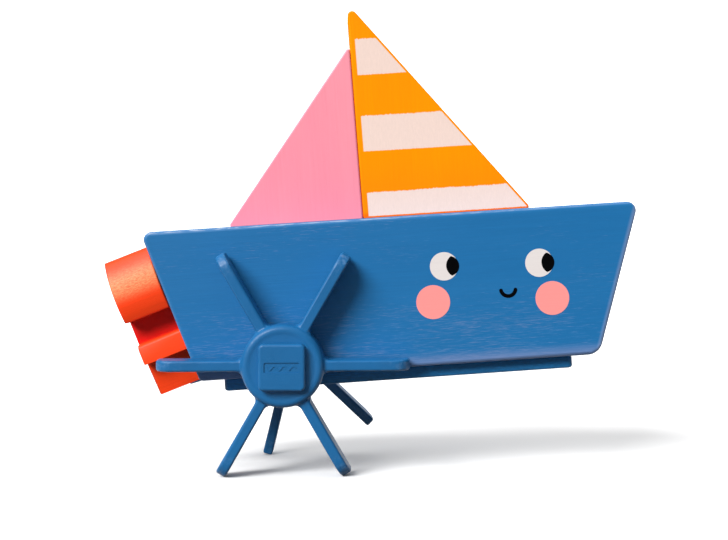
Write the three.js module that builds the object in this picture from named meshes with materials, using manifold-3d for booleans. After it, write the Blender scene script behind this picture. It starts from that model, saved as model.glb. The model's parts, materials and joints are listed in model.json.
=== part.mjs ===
// A wooden toy paddle boat. Millimetres, +X to the bow, +Z up, starboard on -Y.
// It is drawn with z = 0 under the hull and x = 0 at mid-hull, then moved so that the
// origin is the middle of its footprint, level with its lowest paddle tip.

import * as THREE from 'three';
import { mergeVertices } from 'three/addons/utils/BufferGeometryUtils.js';
import Module from 'manifold-3d';

const wasm = await Module();
wasm.setup();

// ---- Driving dimensions ----

const HULL_TOP_LENGTH = 187.4;
const HULL_BOTTOM_LENGTH = 150.6;
const HULL_HEIGHT = 56.8;
const HULL_THICKNESS = 46;
const HULL_SIDE_THICKNESS = 10;
const HULL_EDGE = 1.4;
const STERN_TOP_RADIUS = 3;
const STERN_BOTTOM_RADIUS = 2.2;
const BOW_TOP_RADIUS = 3.4;
const BOW_BOTTOM_RADIUS = 6;

const KEEL_THICKNESS = 5;
const KEEL_WIDTH = 36;
const KEEL_AFT_X = -67;
const KEEL_FORE_X = 66.1;
const KEEL_CORNER_RADIUS = 2;
const KEEL_EDGE = 0.9;
const SCREW_XS = [-57, 56];
const SCREW_Y = 8.5;
const SCREW_HEAD_RADIUS = 3.6;
const SCREW_SHANK_RADIUS = 1.6;
const SCREW_LENGTH = 16;

const AXLE_X = -43.2;
const AXLE_Z = 5;
const AXLE_RADIUS = 2.5;
const AXLE_END = 33.4;
const WASHER_THICKNESS = 0.9;
const WASHER_RADIUS = 5.5;

const WHEEL_RADIUS = 46.4;
const WHEEL_INNER_FACE = 24.2;
const BLADE_WIDTH = 10;
const BLADE_THICKNESS = 4;
const BLADE_TIP_RADIUS = 6;
const BLADE_ROOT_FILLET = 1.8;
const BLADE_EDGE = 0.5;
const BLADE_COUNT = 6;
const HUB_RADIUS = 15;
const HUB_WIDTH = 12;
const HUB_EDGE_RADIUS = 2.2;
const HUB_DISH_RADIUS = 11.5;
const HUB_DISH_DEPTH = 0.25;
const HUB_POCKET_RADIUS = 7.2;
const HUB_POCKET_FLOOR = 5.2;
const STARBOARD_WHEEL_TURN = THREE.MathUtils.degToRad(-3.6);
const PORT_WHEEL_TURN = THREE.MathUtils.degToRad(12.8);

const CAP_SIZE = 16.7;
const CAP_THICKNESS = 3;
const CAP_EDGE = 0.9;
const CAP_CORNER_RADIUS = 1.8;
const CAP_PANEL = { width: 12.6, height: 3.7, depth: 0.35 };
const CAP_SPIGOT = { radius: 6.9, bore: 5.7, length: 2 };
const NUT = { radius: 5.4, thickness: 1.1, start: 30.1 };

const SAIL_THICKNESS = 12;
const SAIL_EDGE = 0.7;
// Each corner is [x, z, radius]. The sails' upright edges lean aft together, side by side.
const FRONT_SAIL_CORNERS = [[-9.9, 0, 1.2], [57, 0, 1.2], [-11.1, 85.5, 1.8]];
const REAR_SAIL_CORNERS = [[-63.6, 0, 1.2], [-10.05, 0, 1], [-11.01, 68.8, 0.8]];
const FRONT_SAIL_MAGNET_XS = [4, 42];
const REAR_SAIL_MAGNET_XS = [-48, -18];

const BLOCK_DEPTH = 17.9;
const BLOCK_EDGE = 0.6;
const BLOCK_TOP = 5.4;
const HEAD_TOP_HALF_WIDTH = 16.6;
const HEAD_BOTTOM_HALF_WIDTH = 21;
const HEAD_SIDE_RADIUS = 24;
const HEAD_BOTTOM = 29.6;
const NECK_HALF_WIDTH = 14;
const RIB_TOP = 38.8;
const RIB_BOTTOM = 46.7;
const RIB_HALF_WIDTH = 17.5;
const RIB_CHAMFER = 1.4;
const BASE_TOP_HALF_WIDTH = 13;
const BASE_BOTTOM_HALF_WIDTH = 11.4;
const BLOCK_MAGNET_DROPS = [17, 42.3];

const MAGNET_RADIUS = 4;
const MAGNET_THICKNESS = 3;
const SEAT_GAP = 0.2;
const FIT_GAP = 0.1;
const TURNED_GAP = 0.2;
const ROUND_SEGMENTS = 32;
const SMALL_ROUND_SEGMENTS = 16;
const HUB_SEGMENTS = 48;

const halfHull = HULL_THICKNESS / 2;
const coreFace = halfHull - HULL_SIDE_THICKNESS;
const transomRun = (HULL_TOP_LENGTH - HULL_BOTTOM_LENGTH) / 2;
const transomLength = Math.hypot(transomRun, HULL_HEIGHT);

// ---- Materials ----

function paint(colour, roughness, metalness = 0) {
  return new THREE.MeshStandardMaterial({ color: colour, roughness, metalness });
}

const hullPaint = paint(0x2d78b4, 0.5);
const keelPaint = paint(0x2a5b8c, 0.55);
const wheelPlastic = paint(0x3270aa, 0.42);
const orangePaint = paint(0xff5a2d, 0.5);
const pinkPaint = paint(0xfda0b4, 0.55);
const yellowPaint = paint(0xffa000, 0.55);
const steel = paint(0xb8bcc0, 0.3, 1);
const nylon = paint(0xe8e6df, 0.5);

// ---- Joining and cutting ----

function toSolid(geometry) {
  const bare = geometry.clone();
  bare.deleteAttribute('normal');
  bare.deleteAttribute('uv');
  const merged = mergeVertices(bare, 1e-4);
  const vertProperties = new Float32Array(merged.attributes.position.array);
  const triVerts = new Uint32Array(merged.index.array);
  return new wasm.Manifold(new wasm.Mesh({ numProp: 3, vertProperties, triVerts }));
}

function toGeometry(solid) {
  const { vertProperties, triVerts } = solid.getMesh();
  const geometry = new THREE.BufferGeometry();
  geometry.setAttribute('position', new THREE.BufferAttribute(vertProperties, 3));
  geometry.setIndex(new THREE.BufferAttribute(triVerts, 1));
  geometry.computeVertexNormals();
  return geometry;
}

function cut(geometry, ...tools) {
  return toGeometry(tools.reduce((solid, tool) => solid.subtract(toSolid(tool)), toSolid(geometry)));
}

function join(geometry, ...others) {
  return toGeometry(others.reduce((solid, other) => solid.add(toSolid(other)), toSolid(geometry)));
}

// ---- Shapes ----

// A closed outline, counter-clockwise, from corners [x, y, radius]. A corner may turn either way.
function roundedOutline(corners) {
  const shape = new THREE.Shape();
  corners.forEach(([x, y, radius], i) => {
    const corner = new THREE.Vector2(x, y);
    const [px, py] = corners[(i + corners.length - 1) % corners.length];
    const [nx, ny] = corners[(i + 1) % corners.length];
    const back = new THREE.Vector2(px, py).sub(corner).normalize();
    const ahead = new THREE.Vector2(nx, ny).sub(corner).normalize();
    const halfAngle = Math.acos(THREE.MathUtils.clamp(back.dot(ahead), -1, 1)) / 2;
    const start = corner.clone().addScaledVector(back, radius / Math.tan(halfAngle));
    const end = corner.clone().addScaledVector(ahead, radius / Math.tan(halfAngle));
    const inward = back.clone().add(ahead).normalize();
    const centre = corner.clone().addScaledVector(inward, radius / Math.sin(halfAngle));
    const from = start.clone().sub(centre).angle();
    const to = end.clone().sub(centre).angle();
    const clockwise = back.cross(ahead) > 0;
    if (i === 0) shape.moveTo(start.x, start.y);
    else shape.lineTo(start.x, start.y);
    shape.absarc(centre.x, centre.y, radius, from, to, clockwise);
  });
  shape.closePath();
  return shape;
}

// An outline in the XY plane, extruded up from z = 0, its edges rounded by edge.
function extruded(shape, depth, edge, { curve = 4, bevel = 3 } = {}) {
  const geometry = new THREE.ExtrudeGeometry(shape, {
    depth: depth - 2 * edge,
    bevelEnabled: edge > 0,
    bevelThickness: edge,
    bevelSize: edge,
    bevelOffset: -edge,
    bevelSegments: bevel,
    curveSegments: curve,
  });
  return geometry.translate(0, 0, edge);
}

// A board standing in the XZ plane between two y values.
function board(shape, yLow, yHigh, edge, fineness) {
  return extruded(shape, yHigh - yLow, edge, fineness).rotateX(Math.PI / 2).translate(0, yHigh, 0);
}

function box(xLow, xHigh, yLow, yHigh, zLow, zHigh) {
  const geometry = new THREE.BoxGeometry(xHigh - xLow, yHigh - yLow, zHigh - zLow);
  geometry.translate((xLow + xHigh) / 2, (yLow + yHigh) / 2, (zLow + zHigh) / 2);
  return geometry;
}

// A turned piece about the Y axis from profile points [radius, y].
function turned(profile, segments = SMALL_ROUND_SEGMENTS) {
  const points = profile.map(([radius, y]) => new THREE.Vector2(radius, y));
  return new THREE.LatheGeometry(points, segments);
}

function disc(radius, yLow, yHigh, chamfer = 0, segments = SMALL_ROUND_SEGMENTS) {
  if (chamfer === 0) return turned([[0, yLow], [radius, yLow], [radius, yHigh], [0, yHigh]], segments);
  const edge = radius - chamfer;
  return turned([
    [0, yLow], [edge, yLow], [radius, yLow + chamfer],
    [radius, yHigh - chamfer], [edge, yHigh], [0, yHigh],
  ], segments);
}

function ring(bore, radius, yLow, yHigh, segments = SMALL_ROUND_SEGMENTS) {
  return turned([[bore, yLow], [radius, yLow], [radius, yHigh], [bore, yHigh], [bore, yLow]], segments);
}

const boat = new THREE.Group();

function place(name, geometry, material, parent = boat) {
  const mesh = new THREE.Mesh(geometry, material);
  mesh.name = name;
  parent.add(mesh);
  return mesh;
}

// ---- Places on the hull ----

// A group whose +Z points aft out of the transom, +Y up along it, and whose origin is on the
// transom, the given distance down from the deck edge.
function onTransom(drop, gap = 0) {
  const group = new THREE.Group();
  const up = new THREE.Vector3(-transomRun, 0, HULL_HEIGHT).normalize();
  const aft = new THREE.Vector3(-HULL_HEIGHT, 0, -transomRun).normalize();
  const athwart = new THREE.Vector3().crossVectors(up, aft);
  group.setRotationFromMatrix(new THREE.Matrix4().makeBasis(athwart, up, aft));
  group.position.set(-HULL_TOP_LENGTH / 2, 0, HULL_HEIGHT);
  group.position.addScaledVector(up, -drop).addScaledVector(aft, gap);
  group.updateMatrixWorld();
  return group;
}

function uprightDisc(radius, thickness, chamfer) {
  return disc(radius, 0, thickness, chamfer).rotateX(Math.PI / 2);
}

// A magnet's pocket, sunk below z = 0.
function pocket(depthAbove = 1) {
  const hole = uprightDisc(MAGNET_RADIUS + FIT_GAP, MAGNET_THICKNESS + 2 * FIT_GAP + depthAbove, 0);
  return hole.translate(0, 0, -MAGNET_THICKNESS - 2 * FIT_GAP);
}

function magnet() {
  return uprightDisc(MAGNET_RADIUS, MAGNET_THICKNESS, 0.4).translate(0, 0, -MAGNET_THICKNESS - FIT_GAP);
}

// ---- Hull ----

function hullOutline() {
  const top = HULL_TOP_LENGTH / 2;
  const bottom = HULL_BOTTOM_LENGTH / 2;
  return roundedOutline([
    [-bottom, 0, STERN_BOTTOM_RADIUS],
    [bottom, 0, BOW_BOTTOM_RADIUS],
    [top, HULL_HEIGHT, BOW_TOP_RADIUS],
    [-top, HULL_HEIGHT, STERN_TOP_RADIUS],
  ]);
}

// The axle lies in a slot open to the bottom, which the keel plate closes.
function axleSlot() {
  const radius = AXLE_RADIUS + FIT_GAP;
  const length = halfHull + 1;
  const round = disc(radius, -length, length, 0, ROUND_SEGMENTS).translate(AXLE_X, 0, AXLE_Z);
  const mouth = box(AXLE_X - radius, AXLE_X + radius, -length, length, -1, AXLE_Z);
  return join(round, mouth);
}

// The outer face of a side board has rounded edges, and the inner one is square against the core.
function hullSide(side) {
  const inner = coreFace - HULL_EDGE;
  const [low, high] = side > 0 ? [inner, halfHull] : [-halfHull, -inner];
  const rounded = board(hullOutline(), low, high, HULL_EDGE);
  const half = HULL_TOP_LENGTH;
  const [cutLow, cutHigh] = side > 0 ? [-1, coreFace] : [-coreFace, 1];
  return cut(rounded, box(-half, half, cutLow, cutHigh, -1, HULL_HEIGHT + 1), axleSlot());
}

function hullCore() {
  const blank = board(hullOutline(), -coreFace, coreFace, 0);
  const deckPockets = [...FRONT_SAIL_MAGNET_XS, ...REAR_SAIL_MAGNET_XS]
    .map((x) => pocket().translate(x, 0, HULL_HEIGHT));
  const transomPockets = BLOCK_MAGNET_DROPS
    .map((drop) => pocket().applyMatrix4(onTransom(drop).matrix));
  const pilotDepth = SCREW_LENGTH - KEEL_THICKNESS + 1;
  const pilots = screwPlaces().map(([x, y]) => (
    uprightDisc(SCREW_SHANK_RADIUS + FIT_GAP, pilotDepth + 1, 0).translate(x, y, -1)
  ));
  return cut(blank, axleSlot(), ...deckPockets, ...transomPockets, ...pilots);
}

place('starboard_hull_side', hullSide(-1), hullPaint);
place('hull_core', hullCore(), hullPaint);
place('port_hull_side', hullSide(1), hullPaint);

// ---- Keel plate and its screws ----

function screwPlaces() {
  return SCREW_XS.flatMap((x) => [[x, -SCREW_Y], [x, SCREW_Y]]);
}

// A countersunk solid, pointing up from z = 0.
function screwBody(grow, length) {
  const head = SCREW_HEAD_RADIUS + grow;
  const shank = SCREW_SHANK_RADIUS + grow;
  const cone = SCREW_HEAD_RADIUS - SCREW_SHANK_RADIUS;
  return turned([[0, 0], [head, 0], [head, 0.4], [shank, 0.4 + cone], [shank, length], [0, length]])
    .rotateX(Math.PI / 2);
}

function keelPlate() {
  const r = KEEL_CORNER_RADIUS;
  const half = KEEL_WIDTH / 2;
  const outline = roundedOutline([
    [KEEL_AFT_X, -half, r], [KEEL_FORE_X, -half, r], [KEEL_FORE_X, half, r], [KEEL_AFT_X, half, r],
  ]);
  const plate = extruded(outline, KEEL_THICKNESS, KEEL_EDGE, { curve: 2, bevel: 2 });
  plate.translate(0, 0, -KEEL_THICKNESS);
  const holes = screwPlaces().map(([x, y]) => (
    screwBody(FIT_GAP, KEEL_THICKNESS + 1).translate(x, y, -KEEL_THICKNESS - 0.01)
  ));
  return cut(plate, ...holes);
}

function screw() {
  const slot = 1.1;
  const arm = 1.9;
  const body = screwBody(0, SCREW_LENGTH);
  return cut(
    body,
    box(-arm, arm, -slot / 2, slot / 2, -1, 1.4),
    box(-slot / 2, slot / 2, -arm, arm, -1, 1.4),
  );
}

place('keel_plate', keelPlate(), keelPaint);
screwPlaces().forEach(([x, y], i) => {
  place(`keel_screw_${i + 1}`, screw(), steel).position.set(x, y, -KEEL_THICKNESS);
});

// ---- Axle, washers, paddle wheels ----

// A paddle wheel faces +Y. A blade lies along +X and is rounded at its outer tip.
function blade() {
  const inner = WHEEL_INNER_FACE;
  const outer = inner + BLADE_WIDTH;
  const root = HUB_RADIUS - 3;
  const small = BLADE_EDGE + 0.1;
  const outline = roundedOutline([
    [root, inner, small], [WHEEL_RADIUS, inner, small],
    [WHEEL_RADIUS, outer, BLADE_TIP_RADIUS], [root, outer, small],
  ]);
  const flat = extruded(outline, BLADE_THICKNESS, BLADE_EDGE, { curve: 3, bevel: 1 });
  return flat.translate(0, 0, -BLADE_THICKNESS / 2);
}

function arcPoints(centreRadius, centreY, radius, from, to, steps) {
  return Array.from({ length: steps + 1 }, (_, i) => {
    const angle = from + ((to - from) * i) / steps;
    return [centreRadius + radius * Math.cos(angle), centreY + radius * Math.sin(angle)];
  });
}

function hub() {
  const inner = WHEEL_INNER_FACE;
  const front = inner + HUB_WIDTH;
  const r = HUB_EDGE_RADIUS;
  const edge = arcPoints(HUB_RADIUS - r, front - r, r, 0, Math.PI / 2, 4);
  const dish = front - HUB_DISH_DEPTH;
  const bore = AXLE_RADIUS + FIT_GAP;
  return turned([
    [bore, inner], [HUB_RADIUS - 0.5, inner], [HUB_RADIUS, inner + 0.5], ...edge,
    [HUB_DISH_RADIUS, dish], [HUB_POCKET_RADIUS, dish],
    [HUB_POCKET_RADIUS, inner + HUB_POCKET_FLOOR], [bore, inner + HUB_POCKET_FLOOR], [bore, inner],
  ], HUB_SEGMENTS);
}

// Where a blade along +X meets the hub it flares on both sides.
function rootFlare() {
  const half = BLADE_THICKNESS / 2;
  const wide = half + BLADE_ROOT_FILLET;
  const hubEdge = HUB_RADIUS - 0.5;
  const end = hubEdge + BLADE_ROOT_FILLET + 1;
  const shape = new THREE.Shape();
  shape.moveTo(hubEdge - 2, -wide);
  shape.lineTo(hubEdge, -wide);
  shape.quadraticCurveTo(hubEdge + 0.6, -half - 0.1, end, -half + 0.1);
  shape.lineTo(end, half - 0.1);
  shape.quadraticCurveTo(hubEdge + 0.6, half + 0.1, hubEdge, wide);
  shape.lineTo(hubEdge - 2, wide);
  shape.closePath();
  const face = WHEEL_INNER_FACE;
  return board(shape, face + BLADE_EDGE, face + BLADE_WIDTH - BLADE_EDGE, 0, { curve: 4 });
}

function paddleWheel() {
  const blades = Array.from({ length: BLADE_COUNT }, (_, i) => (
    join(blade(), rootFlare()).rotateY((i * 2 * Math.PI) / BLADE_COUNT)
  ));
  return join(hub(), ...blades);
}

// The cap is a square button with a recessed panel, plugged into the hub over the axle's end.
function hubCap() {
  const half = CAP_SIZE / 2;
  const r = CAP_CORNER_RADIUS;
  const seat = WHEEL_INNER_FACE + HUB_WIDTH - HUB_DISH_DEPTH + FIT_GAP;
  const square = roundedOutline([[-half, -half, r], [half, -half, r], [half, half, r], [-half, half, r]]);
  const rounded = board(square, seat - CAP_EDGE, seat + CAP_THICKNESS, CAP_EDGE, { curve: 2 });
  const button = cut(rounded, box(-half, half, seat - 2, seat, -half, half));
  const spigot = ring(
    CAP_SPIGOT.bore, CAP_SPIGOT.radius, seat - CAP_SPIGOT.length, seat + 0.5, ROUND_SEGMENTS,
  );
  const front = seat + CAP_THICKNESS;
  const w = CAP_PANEL.width / 2;
  const h = CAP_PANEL.height / 2;
  const panel = board(
    roundedOutline([[-w, -h, 0.5], [w, -h, 0.5], [w, h, 0.5], [-w, h, 0.5]]),
    front - CAP_PANEL.depth, front + 1, 0, { curve: 1 },
  );
  return join(cut(button, panel), spigot, waveMark(front - CAP_PANEL.depth));
}

// A plain wavy line stands in the panel.
function waveMark(floor) {
  const length = CAP_PANEL.width - 2.4;
  const steps = 24;
  const line = Array.from({ length: steps + 1 }, (_, i) => {
    const t = i / steps;
    return new THREE.Vector2((t - 0.5) * length, 0.75 * Math.sin(t * 6 * Math.PI));
  });
  const half = 0.3;
  const shape = new THREE.Shape([
    ...line.map((p) => new THREE.Vector2(p.x, p.y - half)),
    ...line.map((p) => new THREE.Vector2(p.x, p.y + half)).reverse(),
  ]);
  return board(shape, floor - 0.2, floor + CAP_PANEL.depth - 0.15, 0);
}

function pushNut() {
  const { radius, thickness, start } = NUT;
  const bore = AXLE_RADIUS + FIT_GAP;
  return turned([
    [bore, start + 0.5], [radius - 1.4, start], [radius, start], [radius, start + thickness],
    [radius - 1.2, start + thickness], [bore, start + thickness + 0.5], [bore, start + 0.5],
  ], ROUND_SEGMENTS);
}

const axle = disc(AXLE_RADIUS, -AXLE_END, AXLE_END, 0.6, ROUND_SEGMENTS);
place('axle', axle, steel).position.set(AXLE_X, 0, AXLE_Z);

[
  { name: 'starboard', facing: Math.PI, turn: STARBOARD_WHEEL_TURN },
  { name: 'port', facing: 0, turn: -PORT_WHEEL_TURN },
].forEach(({ name, facing, turn }) => {
  const side = new THREE.Group();
  side.position.set(AXLE_X, 0, AXLE_Z);
  side.rotation.x = facing;
  boat.add(side);
  const washer = ring(
    AXLE_RADIUS + FIT_GAP, WASHER_RADIUS, halfHull, halfHull + WASHER_THICKNESS, ROUND_SEGMENTS,
  );
  place(`${name}_washer`, washer, nylon, side);
  place(`${name}_push_nut`, pushNut(), steel, side);
  const wheel = new THREE.Group();
  wheel.rotation.y = turn;
  side.add(wheel);
  place(`${name}_paddle_wheel`, paddleWheel(), wheelPlastic, wheel);
  place(`${name}_hub_cap`, hubCap(), wheelPlastic, wheel);
});

// ---- Sails ----

function sail(corners, magnetXs) {
  const half = SAIL_THICKNESS / 2;
  const pockets = magnetXs.map((x) => pocket().rotateX(Math.PI).translate(x, 0, 0));
  return cut(board(roundedOutline(corners), -half, half, SAIL_EDGE, { curve: 3 }), ...pockets);
}

[
  { name: 'front_sail', corners: FRONT_SAIL_CORNERS, xs: FRONT_SAIL_MAGNET_XS, material: yellowPaint },
  { name: 'rear_sail', corners: REAR_SAIL_CORNERS, xs: REAR_SAIL_MAGNET_XS, material: pinkPaint },
].forEach(({ name, corners, xs, material }) => {
  place(name, sail(corners, xs), material).position.z = HULL_HEIGHT + SEAT_GAP;
  xs.forEach((x, i) => {
    const held = magnet().rotateX(Math.PI);
    place(`${name}_magnet_${i + 1}`, held, steel).position.set(x, 0, HULL_HEIGHT + SEAT_GAP);
    place(`${name}_deck_magnet_${i + 1}`, magnet(), steel).position.set(x, 0, HULL_HEIGHT);
  });
});

// ---- Stern block ----

// Adds an arc of the given radius that bulges to the right of the way from the last point.
function arcTo(shape, x, y, radius) {
  const from = shape.currentPoint.clone();
  const to = new THREE.Vector2(x, y);
  const chord = to.clone().sub(from);
  const reach = Math.sqrt(radius ** 2 - (chord.length() / 2) ** 2);
  const left = new THREE.Vector2(-chord.y, chord.x).normalize();
  const centre = from.clone().add(to).multiplyScalar(0.5).addScaledVector(left, reach);
  const start = from.clone().sub(centre).angle();
  const end = to.clone().sub(centre).angle();
  shape.absarc(centre.x, centre.y, radius, start, end, false);
}

// Seen from astern: a head with bowed sides, a neck, a rib and a base that narrows downwards.
function blockOutline() {
  const bottom = -transomLength;
  const shape = new THREE.Shape();
  shape.moveTo(-BASE_BOTTOM_HALF_WIDTH, bottom);
  shape.lineTo(BASE_BOTTOM_HALF_WIDTH, bottom);
  shape.lineTo(BASE_TOP_HALF_WIDTH, -RIB_BOTTOM);
  shape.lineTo(RIB_HALF_WIDTH, -RIB_BOTTOM);
  shape.lineTo(RIB_HALF_WIDTH, -RIB_TOP - RIB_CHAMFER);
  shape.lineTo(RIB_HALF_WIDTH - RIB_CHAMFER, -RIB_TOP);
  shape.lineTo(NECK_HALF_WIDTH, -RIB_TOP);
  shape.lineTo(NECK_HALF_WIDTH, -HEAD_BOTTOM);
  shape.lineTo(HEAD_BOTTOM_HALF_WIDTH, -HEAD_BOTTOM);
  arcTo(shape, HEAD_TOP_HALF_WIDTH, -BLOCK_TOP, HEAD_SIDE_RADIUS);
  shape.lineTo(-HEAD_TOP_HALF_WIDTH, -BLOCK_TOP);
  arcTo(shape, -HEAD_BOTTOM_HALF_WIDTH, -HEAD_BOTTOM, HEAD_SIDE_RADIUS);
  shape.lineTo(-NECK_HALF_WIDTH, -HEAD_BOTTOM);
  shape.lineTo(-NECK_HALF_WIDTH, -RIB_TOP);
  shape.lineTo(-RIB_HALF_WIDTH + RIB_CHAMFER, -RIB_TOP);
  shape.lineTo(-RIB_HALF_WIDTH, -RIB_TOP - RIB_CHAMFER);
  shape.lineTo(-RIB_HALF_WIDTH, -RIB_BOTTOM);
  shape.lineTo(-BASE_TOP_HALF_WIDTH, -RIB_BOTTOM);
  shape.closePath();
  return shape;
}

function sternBlock() {
  const block = extruded(blockOutline(), BLOCK_DEPTH, BLOCK_EDGE, { curve: 8, bevel: 2 });
  const pockets = BLOCK_MAGNET_DROPS.map((drop) => pocket().rotateX(Math.PI).translate(0, -drop, 0));
  return cut(block, ...pockets);
}

const stern = onTransom(0, TURNED_GAP);
boat.add(stern);
place('stern_block', sternBlock(), orangePaint, stern);
BLOCK_MAGNET_DROPS.forEach((drop, i) => {
  const held = magnet().rotateX(Math.PI);
  place(`stern_block_magnet_${i + 1}`, held, steel, stern).position.y = -drop;
  const transom = onTransom(drop);
  boat.add(transom);
  place(`transom_magnet_${i + 1}`, magnet(), steel, transom);
});

// ---- Origin ----

const part = new THREE.Group();
part.add(boat);
const bounds = new THREE.Box3().setFromObject(part, true);
boat.position.x = -(bounds.min.x + bounds.max.x) / 2;
boat.position.z = -bounds.min.z;

export default part;
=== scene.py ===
"""Looks for the toy paddle boat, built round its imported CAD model. Metres, in the CAD's frame."""

import json
import math

import bmesh
import bpy
from mathutils import Matrix, Vector


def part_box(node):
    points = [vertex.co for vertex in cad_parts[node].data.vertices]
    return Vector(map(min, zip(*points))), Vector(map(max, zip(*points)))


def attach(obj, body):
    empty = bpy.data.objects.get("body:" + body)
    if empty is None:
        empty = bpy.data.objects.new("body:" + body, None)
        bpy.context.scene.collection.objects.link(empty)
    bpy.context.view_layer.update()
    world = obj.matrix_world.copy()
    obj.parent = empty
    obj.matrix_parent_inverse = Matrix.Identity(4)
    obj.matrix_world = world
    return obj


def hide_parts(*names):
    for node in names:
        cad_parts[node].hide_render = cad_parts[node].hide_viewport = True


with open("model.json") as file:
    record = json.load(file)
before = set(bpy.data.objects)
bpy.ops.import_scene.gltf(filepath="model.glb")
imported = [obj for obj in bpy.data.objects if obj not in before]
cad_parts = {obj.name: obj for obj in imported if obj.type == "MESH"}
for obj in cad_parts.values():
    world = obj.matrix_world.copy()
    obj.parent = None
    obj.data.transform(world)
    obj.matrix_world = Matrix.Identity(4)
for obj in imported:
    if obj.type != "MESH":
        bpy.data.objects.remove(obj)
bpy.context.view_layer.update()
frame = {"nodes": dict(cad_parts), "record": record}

MM = 0.001
SIDES = {"starboard": -1, "port": 1}

# The camera, from the middle of the axle, in the CAD's frame, whose deck is level.
CAMERA_PLACE = Vector((24.49, -334.78, 36.55)) * MM
CAMERA_YAW = math.radians(1.334)
CAMERA_PITCH = math.radians(-0.748)
CAMERA_ROLL = math.radians(3.722)
SENSOR_WIDTH = 36
CAMERA_LENS = 41.35

# The hull's ends lean out by this much from the upright.
END_LEAN = math.radians(17.96)
FORWARD = Vector((1, 0, 0))
BOW_FACE = Vector((math.cos(END_LEAN), 0, -math.sin(END_LEAN)))
STERN_FACE = Vector((-math.cos(END_LEAN), 0, -math.sin(END_LEAN)))
LATERAL = Vector((0, 1, 0))
UPRIGHT = Vector((0, 0, 1))

# The face, in millimetres forward of the axle and above it.
EYES = ((61.7, 31.9), (97.5, 30.9))
EYE_RADIUS = 5.3
PUPIL_CHORD = 2.76
PUPIL_HALF_HEIGHT = 3.65
PUPIL_AFT_BULGE = 1.95
PUPIL_FORE_BULGE = 2.93
CHEEKS = ((56.8, 18.8), (101.6, 17.4))
CHEEK_RADIUS = 6.35
SMILE = (85.2, 22.0)
SMILE_RADIUS = 2.78
SMILE_HALF_STROKE = 0.7
SMILE_LIFT = 11
PRINT_THICKNESS = 0.05
PUPIL_THICKNESS = 0.09
ROUND_STEPS = 96
SMILE_END_STEPS = 12

# The front sail's stripes: foot and head, in millimetres above the deck.
STRIPES = ((1.2, 10.5), (26.7, 40.6), (56.7, 70.8))
STRIPE_MARGIN = 0.9
# The front sail's sloping edge faces this way.
SAIL_SLOPE = Vector((0.782, 0, 0.623))

# The hull's marks, in millimetres up from its foot, in from the bow and down from the deck: pores, painted
# reflection of the floor along the foot and up the bow's edge, and a bare line along the deck's edge that
# is partly a painted highlight.
PORES_FADE = (4, 34)
FOOT_FADE = (0.8, 5.5)
BOW_EDGE_FADE = (0.6, 2.6)
DECK_LINE_DROP = 0.7
DECK_LINE_FADE = (0.2, 0.42)

# The front sail's colour, in millimetres: painted warm bounce light towards its foot, painted shade in red
# along its foot's edge, and the bare strip by its mast edge.
BOUNCE_LIGHT_HEIGHT = 30
FOOT_SHADE_FADE = (1.2, 3.4)
MAST_INSET = 1.3
MAST_STRIP_FADE = (1.85, 2.05)
MAST_LEAN = 0.014
STRIPE_FEATHER = 0.12

# The stern block, in millimetres below its top: the painted highlight band across its head, and the painted
# shade of its red neck.
HIGHLIGHT_BAND_DROP = 10.5
HIGHLIGHT_BAND_FADE = (1, 7.5)
NECK_START = (23.4, 25)
NECK_END = (32.6, 33.6)

# How far out from the axle the paddles begin and finish being rubbed, in millimetres.
RUBBED_REACH = (34, 46)

WELD_DISTANCE = 0.004 * MM
SMOOTHED_ANGLE = math.radians(50)
WHEEL_VOXEL = 0.36 * MM
WHEEL_SMOOTHING = 2

GLOSS = 0.3
BLOCK_GLOSS = 0.22
INK_GLOSS = 0.02
SAIL_GLOSS = 0.04
SAIL_SATIN = (0.6, 0.72)

FLOOR_RADIUS = 2.2
FLOOR_STEPS = 128
FLOOR_GAP = 0.02 * MM
BACKDROP_RADIUS = 5
AMBIENT_ABOVE = 0.2
AMBIENT_BELOW = 0.03
KEY_DIRECTION = (-0.5, -0.61, 0.63)
KEY_POWER = 4.5
KEY_SOFTNESS = 32
OVERHEAD_DIRECTION = (-0.1, 0.1, 1)
OVERHEAD_POWER = 1.3
OVERHEAD_SOFTNESS = 120
FILL_DIRECTION = (0.35, 0.8, 0.4)
FILL_POWER = 1.3
FILL_SOFTNESS = 90


# ---- Colours ----


def linear(red, green, blue):
    """A shader colour from sRGB values of 0 to 255."""
    return (*(((c / 255 + 0.055) / 1.055) ** 2.4 if c > 10 else c / 3294.6 for c in (red, green, blue)), 1)


HULL_BLUE = linear(16, 103, 160)
HULL_PALE = linear(150, 172, 205)
# Partly bare wood, partly a painted highlight on the deck's rounded edge.
HULL_BARE_HIGHLIGHT = linear(226, 228, 236)
PORE_PALE = linear(112, 150, 200)
# Painted reflection of the floor, grey, up the bow's edge and along the foot.
PORE_PINK = linear(128, 144, 184)
BOW_EDGE_REFLECTION_GREY = linear(140, 160, 200)
FOOT_REFLECTION_GREY = linear(128, 142, 184)
# Painted light: the hull's blue made lighter, for the keel that sits in the hull's shadow.
KEEL_LIT_BLUE = linear(28, 114, 172)
PLASTIC_BLUE = linear(18, 95, 148)
PLASTIC_PALE = linear(120, 158, 200)
BLOCK_ORANGE = linear(252, 66, 16)
BLOCK_DEEP = linear(228, 36, 10)
# Painted shade in the block's recessed neck.
BLOCK_RECESS_SHADE = linear(226, 14, 2)
# Painted highlight on the block's head.
BLOCK_HIGHLIGHT_PALE = linear(255, 158, 104)
SAIL_PINK = linear(252, 156, 170)
SAIL_PINK_DEEP = linear(246, 136, 158)
SAIL_YELLOW = linear(255, 150, 0)
SAIL_ORANGE = linear(255, 130, 8)
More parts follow.
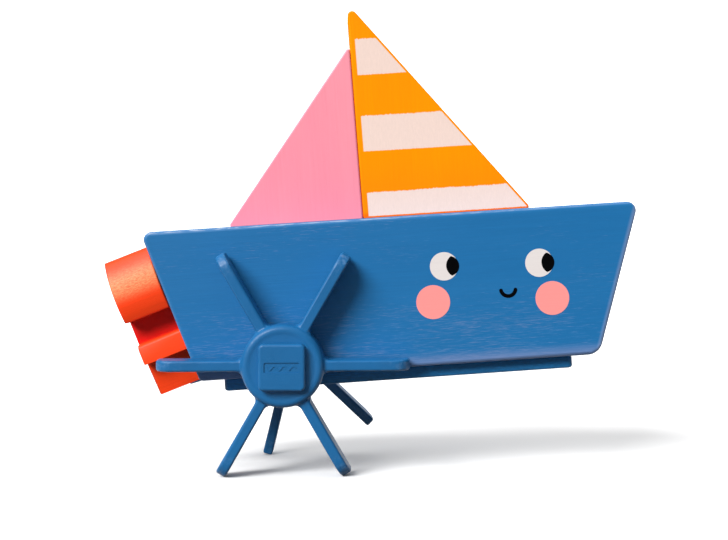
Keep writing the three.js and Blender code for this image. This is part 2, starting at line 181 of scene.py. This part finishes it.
# Painted shade along the front sail's foot.
SAIL_FOOT_SHADE_RED = linear(255, 100, 10)
STRIPE_CREAM = linear(240, 214, 202)
EYE_WHITE = linear(226, 218, 215)
CHEEK_PINK = linear(250, 150, 146)
PRINT_BLACK = linear(3, 3, 4)
STEEL_GREY = linear(196, 199, 202)
NYLON_WHITE = linear(232, 230, 223)


def axle_middle():
    low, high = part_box("axle")
    return (low + high) / 2


# ---- Material nodes ----


class Nodes:
    """One material's nodes. A value given to a socket is a number, a colour or another socket."""

    def __init__(self, name):
        self.material = bpy.data.materials.new(name)
        self.material.use_nodes = True
        self.tree = self.material.node_tree
        self.surface = self.tree.nodes["Principled BSDF"]
        self.coordinates = self.tree.nodes.new("ShaderNodeTexCoord")

    def feed(self, socket, value):
        if isinstance(value, bpy.types.NodeSocket):
            self.tree.links.new(value, socket)
        elif socket.type == "VECTOR":
            socket.default_value = value[:3]
        else:
            socket.default_value = value

    def node(self, kind, values=(), **settings):
        made = self.tree.nodes.new("ShaderNode" + kind)
        for key, value in settings.items():
            setattr(made, key, value)
        for key, value in values:
            self.feed(made.inputs[key], value)
        return made

    def place(self):
        return self.coordinates.outputs["Object"]

    def math(self, operation, *values):
        made = self.node("Math", enumerate(values), operation=operation)
        return made.outputs[0]

    def dot(self, vector, direction):
        made = self.node("VectorMath", enumerate((vector, tuple(direction))), operation="DOT_PRODUCT")
        return made.outputs["Value"]

    def along(self, direction):
        """How far a point lies along a direction, in metres."""
        return self.dot(self.place(), direction)

    def scaled(self, along, across, grain):
        """Object coordinates, stretched along the grain: along and across are cells per metre."""
        side = grain.orthogonal().normalized()
        other = grain.cross(side)
        turned = Matrix((grain, side, other)).to_euler()
        made = self.node("Mapping", (("Vector", self.place()), ("Rotation", turned)))
        stretched = self.node(
            "VectorMath", enumerate((made.outputs[0], (along, across, across))), operation="MULTIPLY"
        )
        return stretched.outputs[0]

    def noise(self, vector, scale=1.0, detail=2.0, roughness=0.5):
        made = self.node("TexNoise", (
            ("Vector", vector), ("Scale", scale), ("Detail", detail), ("Roughness", roughness),
        ))
        return made.outputs["Fac"]

    def ramp(self, value, low, high, start=0.0, end=1.0, smooth=False):
        made = self.node(
            "MapRange", (("Value", value), ("From Min", low), ("From Max", high),
                         ("To Min", start), ("To Max", end)),
            interpolation_type="SMOOTHSTEP" if smooth else "LINEAR",
        )
        return made.outputs["Result"]

    def mix(self, factor, one, other):
        made = self.node("Mix", ((0, factor), (6, one), (7, other)), data_type="RGBA")
        return made.outputs[2]

    def shaded(self, colour, factor):
        """The colour, darker or lighter by a factor."""
        made = self.node("VectorMath", ((0, colour), ("Scale", factor)), operation="SCALE")
        return made.outputs[0]

    def edges(self, flats, start, end):
        """1 where the surface turns away from every flat direction, as on a rounded edge."""
        normal = self.coordinates.outputs["Normal"]
        flatness = 0.0
        for flat in flats:
            facing = self.math("ABSOLUTE", self.dot(normal, flat))
            flatness = self.math("MAXIMUM", facing, flatness)
        return self.ramp(flatness, start, end, 1.0, 0.0, smooth=True)

    def bump(self, *layers):
        """Relief from pairs of height and depth in metres."""
        normal = None
        for height, depth in layers:
            values = [("Height", height), ("Distance", depth), ("Strength", 1.0)]
            if normal is not None:
                values.append(("Normal", normal))
            normal = self.node("Bump", values).outputs[0]
        return normal

    def finish(self, colour, roughness, normal=None, **constants):
        self.surface.inputs["Specular IOR Level"].default_value = GLOSS
        self.feed(self.surface.inputs["Base Color"], colour)
        self.feed(self.surface.inputs["Roughness"], roughness)
        if normal is not None:
            self.feed(self.surface.inputs["Normal"], normal)
        for key, value in constants.items():
            self.surface.inputs[key.replace("_", " ")].default_value = value
        return self.material


def painted_wood(name, colour, grain, flats, tint, edge_wear_and_highlight=HULL_PALE, edge_wear_and_highlight_share=0.35, satin=(0.44, 0.58)):
    """Satin paint over wood: faint streaks along the grain, broad mottling, and rounded edges made paler,
    partly rubbed paint and partly a painted highlight.
    """
    nodes = Nodes(name)
    streaks = nodes.noise(nodes.scaled(30, 1500, grain), detail=4, roughness=0.6)
    broad = nodes.noise(nodes.scaled(14, 60, grain), detail=3)
    fibre = nodes.noise(nodes.scaled(180, 3800, grain), detail=2, roughness=0.7)
    body = nodes.mix(nodes.ramp(broad, 0.3, 0.7, 0.0, 0.45), colour, tint)
    body = nodes.shaded(body, nodes.ramp(streaks, 0.25, 0.75, 0.95, 1.05))
    body = nodes.shaded(body, nodes.ramp(fibre, 0.25, 0.75, 0.97, 1.03))
    # Painted highlight and wear: the rounded edges are mixed towards a paler colour, partly rubbed paint,
    # partly a painted highlight on the rounding.
    wear_and_highlight = nodes.math("MULTIPLY", nodes.edges(flats, 0.82, 0.97), nodes.ramp(streaks, 0.3, 0.6, 0.4, 1.0))
    body = nodes.mix(nodes.math("MULTIPLY", wear_and_highlight, edge_wear_and_highlight_share), body, edge_wear_and_highlight)
    roughness = nodes.ramp(streaks, 0.2, 0.8, *satin)
    relief = nodes.bump((streaks, 0.03 * MM), (fibre, 0.02 * MM))
    return nodes, body, roughness, relief


def furthest(node, direction):
    """How far a CAD node reaches along a direction, in metres."""
    return max(direction.dot(v.co) for v in frame["nodes"][node].data.vertices)


def hull_paint():
    """The hull's blue, with open pores, painted reflection of the floor along the foot and up the bow's
    edge, and a pale line along the deck's edge, partly bare wood and partly a painted highlight.
    """
    low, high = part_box("starboard_hull_side")
    nodes, body, roughness, relief = painted_wood(
        "hull_paint_over_wood", HULL_BLUE, FORWARD,
        (LATERAL, UPRIGHT, BOW_FACE, STERN_FACE), linear(28, 109, 165), edge_wear_and_highlight_share=0.18,
    )
    height = nodes.along(UPRIGHT)
    body = hull_pores(nodes, body, height, low)
    body = hull_painted_reflections(nodes, body, height, low)
    return nodes.finish(deck_line(nodes, body, height, low, high), roughness, relief)


def hull_pores(nodes, body, height, low):
    """Short pale pores, which crowd low on the boards."""
    pores = nodes.noise(nodes.scaled(210, 3400, FORWARD), detail=3, roughness=0.65)
    patches = nodes.noise(nodes.scaled(18, 70, FORWARD), detail=2)
    start, end = (low.z + distance * MM for distance in PORES_FADE)
    lower = nodes.ramp(height, start, end, 0.13, 0.0)
    crowd = nodes.math("ADD", nodes.ramp(patches, 0.4, 0.7, -0.05, 0.07), lower)
    open_pores = nodes.ramp(nodes.math("ADD", pores, crowd), 0.60, 0.82, 0.0, 0.32, smooth=True)
    return nodes.mix(open_pores, body, nodes.mix(nodes.ramp(patches, 0.42, 0.58), PORE_PALE, PORE_PINK))


def hull_painted_reflections(nodes, body, height, low):
    """Painted reflection of the floor: grey on the boat's two sides, along the foot and up the bow's edge.
    """
    normal = nodes.coordinates.outputs["Normal"]
    sideways = nodes.ramp(nodes.math("ABSOLUTE", nodes.dot(normal, LATERAL)), 0.15, 0.6)
    start, end = (low.z + distance * MM for distance in FOOT_FADE)
    foot = nodes.ramp(height, start, end, 0.5, 0.0, smooth=True)
    # Painted reflection of the floor along the foot.
    body = nodes.mix(nodes.math("MULTIPLY", foot, sideways), body, FOOT_REFLECTION_GREY)
    from_bow = nodes.math("SUBTRACT", furthest("hull_core", BOW_FACE), nodes.along(BOW_FACE))
    start, end = (distance * MM for distance in BOW_EDGE_FADE)
    bow_edge = nodes.ramp(from_bow, start, end, 0.62, 0.0, smooth=True)
    # Painted reflection of the floor up the bow's edge.
    return nodes.mix(nodes.math("MULTIPLY", bow_edge, sideways), body, BOW_EDGE_REFLECTION_GREY)


def deck_line(nodes, body, height, low, high):
    """A broken pale line where the deck's edge is rounded, stronger towards the stern: partly bare wood,
    partly a painted highlight.
    """
    bent = nodes.edges((LATERAL, UPRIGHT), 0.80, 0.99)
    off_line = nodes.math("ABSOLUTE", nodes.math("SUBTRACT", height, high.z - DECK_LINE_DROP * MM))
    start, end = (distance * MM for distance in DECK_LINE_FADE)
    line = nodes.math("MULTIPLY", bent, nodes.ramp(off_line, start, end, 1.0, 0.0))
    dashes = nodes.noise(nodes.scaled(190, 1400, FORWARD), detail=3, roughness=0.6)
    broken = nodes.ramp(dashes, 0.46, 0.58)
    sternwards = nodes.ramp(nodes.along(FORWARD), high.x, low.x, 0.0, 0.55)
    # Painted highlight and bare wood in one broken line.
    bare_and_highlit = nodes.math("MULTIPLY", line, nodes.math("MULTIPLY", broken, sternwards))
    return nodes.mix(bare_and_highlit, body, HULL_BARE_HIGHLIGHT)


def keel_paint():
    """The keel's blue: a lighter copy of the hull's blue, painted light for the keel that sits in the
    hull's shadow, finely speckled.
    """
    nodes, body, roughness, relief = painted_wood(
        "keel_paint_over_wood", KEEL_LIT_BLUE, FORWARD, (LATERAL, UPRIGHT, FORWARD),
        linear(24, 102, 158), edge_wear_and_highlight=PLASTIC_PALE, edge_wear_and_highlight_share=0.2,
    )
    specks = nodes.noise(nodes.scaled(420, 1900, FORWARD), detail=3, roughness=0.7)
    body = nodes.shaded(body, nodes.ramp(specks, 0.35, 0.65, 0.8, 1.2))
    return nodes.finish(body, roughness, relief)


def block_paint():
    """The stern block's orange red, with speckled grain that runs fore and aft, a painted highlight band
    across its head and painted shade, deep red, in its neck.
    """
    grain = STERN_FACE
    rise = Vector((STERN_FACE.z, 0, -STERN_FACE.x))
    nodes, body, _, _ = painted_wood(
        "block_paint_over_wood", BLOCK_ORANGE, grain, (LATERAL, grain, rise),
        linear(255, 72, 22), edge_wear_and_highlight_share=0.0,
    )
    drop = nodes.math("SUBTRACT", furthest("stern_block", rise), nodes.along(rise))
    specks = nodes.noise(nodes.scaled(900, 3800, grain), detail=3, roughness=0.7)
    body = nodes.mix(nodes.ramp(specks, 0.52, 0.68, 0.0, 0.25), body, BLOCK_DEEP)
    # Painted highlight: a pale band across the middle of the head, broken by the specks.
    off_band = nodes.math("ABSOLUTE", nodes.math("SUBTRACT", drop, HIGHLIGHT_BAND_DROP * MM))
    start, end = (distance * MM for distance in HIGHLIGHT_BAND_FADE)
    highlight_band = nodes.ramp(off_band, start, end, 1.0, 0.0, smooth=True)
    wear_and_highlight = nodes.math("MULTIPLY", nodes.ramp(specks, 0.65, 0.35, 0.25, 0.95), highlight_band)
    body = nodes.mix(wear_and_highlight, body, BLOCK_HIGHLIGHT_PALE)
    # Painted shade: the recessed neck between head and rib is a deeper red.
    under_head = nodes.ramp(drop, *(distance * MM for distance in NECK_START))
    over_rib = nodes.ramp(drop, *(distance * MM for distance in NECK_END), 1.0, 0.0)
    body = nodes.mix(nodes.math("MULTIPLY", under_head, over_rib), body, BLOCK_RECESS_SHADE)
    relief = nodes.bump((specks, 0.012 * MM))
    roughness = nodes.ramp(specks, 0.3, 0.7, 0.40, 0.54)
    return nodes.finish(body, roughness, relief, Specular_IOR_Level=BLOCK_GLOSS)


def sail_flats(run):
    """A sail's flat directions: its faces, foot, upright edge, and an edge that slopes by run over rise."""
    return LATERAL, UPRIGHT, FORWARD, Vector((1, 0, run)).normalized()


def rear_sail_paint():
    """Pink, with painted shade that makes it a little deeper towards the foot."""
    low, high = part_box("rear_sail")
    nodes, body, roughness, relief = painted_wood(
        "rear_sail_paint_over_wood", SAIL_PINK, UPRIGHT,
        sail_flats(-0.77), SAIL_PINK_DEEP, edge_wear_and_highlight=linear(255, 190, 205), edge_wear_and_highlight_share=0.3, satin=SAIL_SATIN,
    )
    # Painted shade: darker towards the foot.
    foot_shade = nodes.ramp(nodes.along(UPRIGHT), high.z, low.z, 0.0, 0.35)
    body = nodes.mix(foot_shade, body, SAIL_PINK_DEEP)
    return nodes.finish(body, roughness, relief, Specular_IOR_Level=SAIL_GLOSS)


def front_sail_paint():
    """Yellow orange, with painted warm bounce light towards the foot, painted shade in red along the foot's
    edge, and three pale stripes on both faces.
    """
    low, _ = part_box("front_sail")
    nodes, body, roughness, relief = painted_wood(
        "front_sail_paint_over_wood", SAIL_YELLOW, UPRIGHT,
        sail_flats(0.795), linear(255, 145, 0), edge_wear_and_highlight=SAIL_ORANGE, edge_wear_and_highlight_share=0.5, satin=SAIL_SATIN,
    )
    height = nodes.math("SUBTRACT", nodes.along(UPRIGHT), low.z)
    # Painted bounce light: warmer orange towards the foot.
    body = nodes.mix(nodes.ramp(height, BOUNCE_LIGHT_HEIGHT * MM, 0.0, 0.0, 0.7, smooth=True), body, SAIL_ORANGE)
    # Painted shade: a deeper red-orange along the lowest few millimetres.
    start, end = (distance * MM for distance in FOOT_SHADE_FADE)
    body = nodes.mix(nodes.ramp(height, start, end, 0.8, 0.0, smooth=True), body, SAIL_FOOT_SHADE_RED)
    body = striped(nodes, body, low.x, height)
    return nodes.finish(body, roughness, relief, Specular_IOR_Level=SAIL_GLOSS)


def striped(nodes, body, mast_x, height):
    """The body colour with stripes painted over it, whose edges have crept a little along the grain."""
    inside = stripe_field(nodes, mast_x, height)
    creep = nodes.noise(nodes.scaled(60, 1900, UPRIGHT), detail=4, roughness=0.75)
    wander = nodes.noise(nodes.scaled(60, 220, UPRIGHT), detail=2)
    ragged = nodes.math("ADD", nodes.ramp(creep, 0.3, 0.7, -0.3 * MM, 0.3 * MM),
                        nodes.ramp(wander, 0.3, 0.7, -0.15 * MM, 0.15 * MM))
    at_foot = nodes.math("ADD", height, nodes.math("MULTIPLY", ragged, 0.35))
    at_head = nodes.math("ADD", height, ragged)
    painted = 0.0
    for foot, head in STRIPES:
        over = nodes.ramp(at_foot, (foot - STRIPE_FEATHER) * MM, (foot + STRIPE_FEATHER) * MM)
        under = nodes.ramp(at_head, (head - STRIPE_FEATHER) * MM, (head + STRIPE_FEATHER) * MM, 1.0, 0.0)
        painted = nodes.math("MAXIMUM", nodes.math("MULTIPLY", over, under), painted)
    painted = nodes.math("MULTIPLY", painted, inside)
    grains = nodes.noise(nodes.scaled(500, 1500, UPRIGHT), detail=3, roughness=0.7)
    cream = nodes.shaded(STRIPE_CREAM, nodes.ramp(grains, 0.3, 0.7, 0.97, 1.03))
    return nodes.mix(painted, body, cream)


def stripe_field(nodes, mast_x, height):
    """1 on the sail's two faces, clear of its mast edge and its sloping edge."""
    leaning = nodes.math("MULTIPLY", height, MAST_LEAN)
    from_mast = nodes.math("ADD", nodes.math("SUBTRACT", nodes.along(FORWARD), mast_x + MAST_INSET * MM),
                           leaning)
    clear_of_mast = nodes.ramp(from_mast, *(distance * MM for distance in MAST_STRIP_FADE))
    normal = nodes.coordinates.outputs["Normal"]
    on_face = nodes.ramp(nodes.math("ABSOLUTE", nodes.dot(normal, LATERAL)), 0.80, 0.86)
    from_slope = nodes.math("SUBTRACT", furthest("front_sail", SAIL_SLOPE), nodes.along(SAIL_SLOPE))
    clear_of_slope = nodes.ramp(from_slope, STRIPE_MARGIN * MM, (STRIPE_MARGIN + 0.15) * MM)
    return nodes.math("MULTIPLY", nodes.math("MULTIPLY", clear_of_mast, on_face), clear_of_slope)


def wheel_plastic():
    """Satin moulded plastic, a little rubbed towards the paddle tips."""
    nodes = Nodes("wheel_moulded_plastic")
    peel = nodes.noise(nodes.place(), 900, detail=3, roughness=0.6)
    cloud = nodes.noise(nodes.place(), 90, detail=2)
    scuff = nodes.noise(nodes.place(), 520, detail=4, roughness=0.75)
    centre = tuple(axle_middle())
    out = nodes.node("VectorMath", ((0, nodes.place()), (1, centre)), operation="SUBTRACT").outputs[0]
    flat = nodes.node("VectorMath", ((0, out), (1, (1, 0, 1))), operation="MULTIPLY").outputs[0]
    reach = nodes.node("VectorMath", ((0, flat),), operation="LENGTH").outputs["Value"]
    tips = nodes.ramp(reach, *(distance * MM for distance in RUBBED_REACH), smooth=True)
    wear_and_highlight = nodes.math("MULTIPLY", nodes.ramp(scuff, 0.48, 0.66, 0.0, 0.3), tips)
    body = nodes.shaded(PLASTIC_BLUE, nodes.ramp(cloud, 0.3, 0.7, 0.95, 1.06))
    body = nodes.mix(wear_and_highlight, body, PLASTIC_PALE)
    roughness = nodes.ramp(peel, 0.3, 0.7, 0.36, 0.48)
    return nodes.finish(body, roughness, nodes.bump((peel, 0.05 * MM), (scuff, 0.02 * MM)))


def print_ink(name, colour, roughness, gloss=GLOSS):
    """Printed ink, which shows a little of the grain under it."""
    nodes = Nodes(name)
    fibre = nodes.noise(nodes.scaled(60, 1900, FORWARD), detail=3, roughness=0.6)
    body = nodes.shaded(colour, nodes.ramp(fibre, 0.3, 0.7, 0.98, 1.02))
    return nodes.finish(body, nodes.ramp(fibre, 0.3, 0.7, roughness - 0.05, roughness + 0.05),
                        nodes.bump((fibre, 0.015 * MM)), Specular_IOR_Level=gloss)


def plated_steel():
    nodes = Nodes("plated_steel")
    brushed = nodes.noise(nodes.scaled(200, 4000, LATERAL), detail=3)
    body = nodes.shaded(STEEL_GREY, nodes.ramp(brushed, 0.3, 0.7, 0.92, 1.04))
    return nodes.finish(body, nodes.ramp(brushed, 0.3, 0.7, 0.24, 0.36),
                        nodes.bump((brushed, 0.004 * MM)), Metallic=1.0)


def plain_nylon():
    nodes = Nodes("plain_nylon")
    cloud = nodes.noise(nodes.place(), 600, detail=3)
    body = nodes.shaded(NYLON_WHITE, nodes.ramp(cloud, 0.3, 0.7, 0.96, 1.02))
    return nodes.finish(body, nodes.ramp(cloud, 0.3, 0.7, 0.46, 0.56), nodes.bump((cloud, 0.02 * MM)))


# ---- CAD nodes ----


def soft_shading():
    """A geometry group that welds a CAD mesh, smooths its rounded edges and keeps its corners."""
    group = bpy.data.node_groups.new("soft_shading", "GeometryNodeTree")
    group.interface.new_socket("Geometry", in_out="INPUT", socket_type="NodeSocketGeometry")
    group.interface.new_socket("Geometry", in_out="OUTPUT", socket_type="NodeSocketGeometry")

    def node(kind, **settings):
        made = group.nodes.new(kind)
        for key, value in settings.items():
            setattr(made, key, value)
        return made

    source = node("NodeGroupInput")
    plain = node("GeometryNodeRemoveAttribute")
    plain.inputs["Name"].default_value = "custom_normal"
    weld = node("GeometryNodeMergeByDistance")
    weld.inputs["Distance"].default_value = WELD_DISTANCE
    faces = node("GeometryNodeSetShadeSmooth", domain="FACE")
    angle = node("GeometryNodeInputMeshEdgeAngle")
    gentle = node("FunctionNodeCompare", data_type="FLOAT", operation="LESS_THAN")
    gentle.inputs["B"].default_value = SMOOTHED_ANGLE
    edges = node("GeometryNodeSetShadeSmooth", domain="EDGE")
    target = node("NodeGroupOutput")
    link = group.links.new
    link(source.outputs[0], plain.inputs["Geometry"])
    link(plain.outputs[0], weld.inputs["Geometry"])
    link(weld.outputs[0], faces.inputs["Geometry"])
    link(faces.outputs[0], edges.inputs["Geometry"])
    link(angle.outputs["Unsigned Angle"], gentle.inputs["A"])
    link(gentle.outputs[0], edges.inputs["Shade Smooth"])
    link(edges.outputs[0], target.inputs[0])
    return group


def dress(node, material, shading):
    """Gives a CAD node its material and its smooth shading."""
    piece = frame["nodes"][node]
    piece.data.materials.clear()
    piece.data.materials.append(material)
    piece.modifiers.new("soft_shading", "NODES").node_group = shading
    normals = piece.modifiers.new("even_normals", "WEIGHTED_NORMAL")
    normals.keep_sharp = True
    normals.weight = 100


# ---- New pieces ----


def add_piece(name, mesh, material, body):
    piece = bpy.data.objects.new(name, mesh)
    bpy.context.scene.collection.objects.link(piece)
    mesh.materials.clear()
    mesh.materials.append(material)
    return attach(piece, body)


def moulded_wheel(side, material):
    """The CAD wheel in a fine even mesh, with the small radii of a moulding."""
    node = f"{side}_paddle_wheel"
    draft = bpy.data.objects.new("draft", frame["nodes"][node].data.copy())
    bpy.context.scene.collection.objects.link(draft)
    weld = draft.modifiers.new("weld", "WELD")
    weld.merge_threshold = WELD_DISTANCE
    remesh = draft.modifiers.new("remesh", "REMESH")
    remesh.mode = "VOXEL"
    remesh.voxel_size = WHEEL_VOXEL
    remesh.use_smooth_shade = True
    smooth = draft.modifiers.new("smooth", "SMOOTH")
    smooth.factor = 0.5
    smooth.iterations = WHEEL_SMOOTHING
    graph = bpy.context.evaluated_depsgraph_get()
    mesh = bpy.data.meshes.new_from_object(draft.evaluated_get(graph))
    bpy.data.objects.remove(draft)
    piece = add_piece(f"{side}_moulded_wheel", mesh, material, f"{side}_wheel")
    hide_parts(node)


def print_film(name, outline, side, thickness, material):
    """A thin closed film on one side of the hull, from its outline in x and z."""
    low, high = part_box(f"{side}_hull_side")
    out = SIDES[side]
    face = low.y if out < 0 else high.y
    ordered = outline if out < 0 else outline[::-1]
    count = len(ordered)
    near, far = face + out * thickness * MM, face - out * PRINT_THICKNESS * MM
    points = [(x, near, z) for x, z in ordered] + [(x, far, z) for x, z in ordered]
    faces = [tuple(range(count)), tuple(range(2 * count - 1, count - 1, -1))]
    faces += [(i, i + count, (i + 1) % count + count, (i + 1) % count) for i in range(count)]
    mesh = bpy.data.meshes.new(name)
    mesh.from_pydata(points, [], faces)
    return add_piece(f"{side}_{name}", mesh, material, "hull")


def on_hull(x, z):
    """A point on the hull's side, from millimetres forward of the axle and above it."""
    axle = axle_middle()
    return axle.x + x * MM, axle.z + z * MM


def arc(centre, radius, start, end, steps):
    x, z = centre
    angles = [math.radians(start + (end - start) * i / steps) for i in range(steps + 1)]
    return [on_hull(x + radius * math.cos(a), z + radius * math.sin(a)) for a in angles]


def lens_arc(chord_x, z, bulge, facing):
    """One side of a pupil: a shallow arc between the chord's two ends, bulging fore or aft."""
    radius = (PUPIL_HALF_HEIGHT ** 2 + bulge ** 2) / (2 * bulge)
    half = math.degrees(math.asin(PUPIL_HALF_HEIGHT / radius))
    centre = (chord_x + facing * (bulge - radius), z)
    middle = 0 if facing > 0 else 180
    return arc(centre, radius, middle - half, middle + half, ROUND_STEPS // 4)[:-1]


def pupil(eye):
    x, z = eye[0] + PUPIL_CHORD, eye[1]
    return lens_arc(x, z, PUPIL_FORE_BULGE, 1) + lens_arc(x, z, PUPIL_AFT_BULGE, -1)


def smile():
    r, half = SMILE_RADIUS, SMILE_HALF_STROKE
    x, z = SMILE
    start, end = 180 + SMILE_LIFT, 360 - SMILE_LIFT
    run, fall = r * math.cos(math.radians(SMILE_LIFT)), r * math.sin(math.radians(SMILE_LIFT))
    outer = arc(SMILE, r + half, start, end, ROUND_STEPS // 2)
    right = arc((x + run, z - fall), half, -SMILE_LIFT, 180 - SMILE_LIFT, SMILE_END_STEPS)
    inner = arc(SMILE, r - half, end, start, ROUND_STEPS // 2)
    left = arc((x - run, z - fall), half, SMILE_LIFT, 180 + SMILE_LIFT, SMILE_END_STEPS)
    return outer[:-1] + right[:-1] + inner[:-1] + left[:-1]


def face_prints(side):
    white = print_ink(f"{side}_eye_ink", EYE_WHITE, 0.45)
    black = print_ink(f"{side}_black_ink", PRINT_BLACK, 0.6, gloss=INK_GLOSS)
    pink = print_ink(f"{side}_cheek_ink", CHEEK_PINK, 0.5)
    for which, eye, cheek in zip(("aft", "fore"), EYES, CHEEKS):
        circle = arc(eye, EYE_RADIUS, 0, 360, ROUND_STEPS)[:-1]
        print_film(f"{which}_eye", circle, side, PRINT_THICKNESS, white)
        print_film(f"{which}_pupil", pupil(eye), side, PUPIL_THICKNESS, black)
        blush = arc(cheek, CHEEK_RADIUS, 0, 360, ROUND_STEPS)[:-1]
        print_film(f"{which}_cheek", blush, side, PRINT_THICKNESS, pink)
    print_film("smile", smile(), side, PRINT_THICKNESS, black)


# ---- Studio ----


def standing_plane():
    """A point and the upward normal of the plane that the paddle tips stand on."""
    middle = axle_middle().x
    starboard = [v.co for v in frame["nodes"]["starboard_paddle_wheel"].data.vertices]
    port = [v.co for v in frame["nodes"]["port_paddle_wheel"].data.vertices]
    groups = (
        [p for p in starboard if p.x < middle],
        [p for p in starboard if p.x > middle],
        port,
    )
    normal = UPRIGHT.copy()
    for _ in range(8):
        aft, fore, far = (min(group, key=normal.dot) for group in groups)
        normal = (fore - aft).cross(far - aft).normalized()
        if normal.z < 0:
            normal = -normal
    return far, normal


def floor():
    """A round pale floor, tilted to stand under the paddle tips."""
    foot, normal = standing_plane()
    side = normal.orthogonal().normalized()
    other = normal.cross(side)
    centre = foot - normal * FLOOR_GAP
    rim = []
    for i in range(FLOOR_STEPS):
        angle = 2 * math.pi * i / FLOOR_STEPS
        rim.append(centre + (side * math.cos(angle) + other * math.sin(angle)) * FLOOR_RADIUS)
    mesh = bpy.data.meshes.new("studio_floor")
    mesh.from_pydata([tuple(p) for p in rim], [], [tuple(range(FLOOR_STEPS))])
    piece = bpy.data.objects.new("studio_floor", mesh)
    bpy.context.scene.collection.objects.link(piece)
    nodes = Nodes("pale_floor")
    cloud = nodes.noise(nodes.place(), 6, detail=2)
    body = nodes.shaded(linear(250, 250, 250), nodes.ramp(cloud, 0.3, 0.7, 0.99, 1.0))
    mesh.materials.append(nodes.finish(body, 0.9, Specular_IOR_Level=0.0))
    piece.visible_diffuse = False


def soft_sun(name, direction, power, softness):
    """Even light from one direction, as soft as its angle in degrees makes it."""
    data = bpy.data.lights.new(name, "SUN")
    data.energy = power
    data.angle = math.radians(softness)
    lamp = bpy.data.objects.new(name, data)
    bpy.context.scene.collection.objects.link(lamp)
    lamp.rotation_euler = Vector(direction).to_track_quat("Z", "Y").to_euler()


def backdrop():
    """A white surround that only the camera sees."""
    mesh = bpy.data.meshes.new("studio_backdrop")
    shell = bmesh.new()
    bmesh.ops.create_icosphere(shell, subdivisions=3, radius=BACKDROP_RADIUS)
    shell.to_mesh(mesh)
    shell.free()
    piece = bpy.data.objects.new("studio_backdrop", mesh)
    bpy.context.scene.collection.objects.link(piece)
    nodes = Nodes("white_backdrop")
    mesh.materials.append(nodes.finish(linear(255, 255, 255), 1.0, Emission_Color=(1, 1, 1, 1),
                                       Emission_Strength=1.0))
    for rays in ("diffuse", "glossy", "transmission", "volume_scatter", "shadow"):
        setattr(piece, f"visible_{rays}", False)


def studio():
    """A pale surround that dims towards the ground, three soft lights and the white backdrop."""
    world = bpy.data.worlds.new("studio")
    bpy.context.scene.world = world
    world.use_nodes = True
    tree = world.node_tree
    where = tree.nodes.new("ShaderNodeTexCoord")
    split = tree.nodes.new("ShaderNodeSeparateXYZ")
    height = tree.nodes.new("ShaderNodeMapRange")
    span = (("From Min", -0.6), ("From Max", 0.6), ("To Min", AMBIENT_BELOW), ("To Max", AMBIENT_ABOVE))
    for key, value in span:
        height.inputs[key].default_value = value
    background = tree.nodes["Background"]
    background.inputs["Color"].default_value = (1, 1, 1, 1)
    tree.links.new(where.outputs["Generated"], split.inputs[0])
    tree.links.new(split.outputs["Z"], height.inputs["Value"])
    tree.links.new(height.outputs["Result"], background.inputs["Strength"])
    soft_sun("key", KEY_DIRECTION, KEY_POWER, KEY_SOFTNESS)
    soft_sun("overhead", OVERHEAD_DIRECTION, OVERHEAD_POWER, OVERHEAD_SOFTNESS)
    soft_sun("fill", FILL_DIRECTION, FILL_POWER, FILL_SOFTNESS)
    backdrop()


def camera():
    data = bpy.data.cameras.new("camera")
    data.sensor_width = SENSOR_WIDTH
    data.lens = CAMERA_LENS
    data.clip_start = 0.01
    data.clip_end = 20
    eye = bpy.data.objects.new("camera", data)
    bpy.context.scene.collection.objects.link(eye)
    turn = (
        Matrix.Rotation(-CAMERA_YAW, 4, "Z")
        @ Matrix.Rotation(math.radians(90) + CAMERA_PITCH, 4, "X")
        @ Matrix.Rotation(-CAMERA_ROLL, 4, "Z")
    )
    eye.matrix_world = Matrix.Translation(axle_middle() + CAMERA_PLACE) @ turn
    bpy.context.scene.camera = eye


def build():
    shading = soft_shading()
    finishes = {
        "hull_paint": hull_paint(),
        "keel_paint": keel_paint(),
        "orange_paint": block_paint(),
        "pink_paint": rear_sail_paint(),
        "yellow_paint": front_sail_paint(),
        "wheel_plastic": wheel_plastic(),
        "steel": plated_steel(),
        "nylon": plain_nylon(),
    }
    for row in frame["record"]["subparts"]:
        dress(row["node"], finishes[row["material_slot"]], shading)
    for side in SIDES:
        moulded_wheel(side, finishes["wheel_plastic"])
        face_prints(side)
    floor()
    studio()
    camera()
    bpy.context.scene.view_settings.view_transform = "Standard"


build()
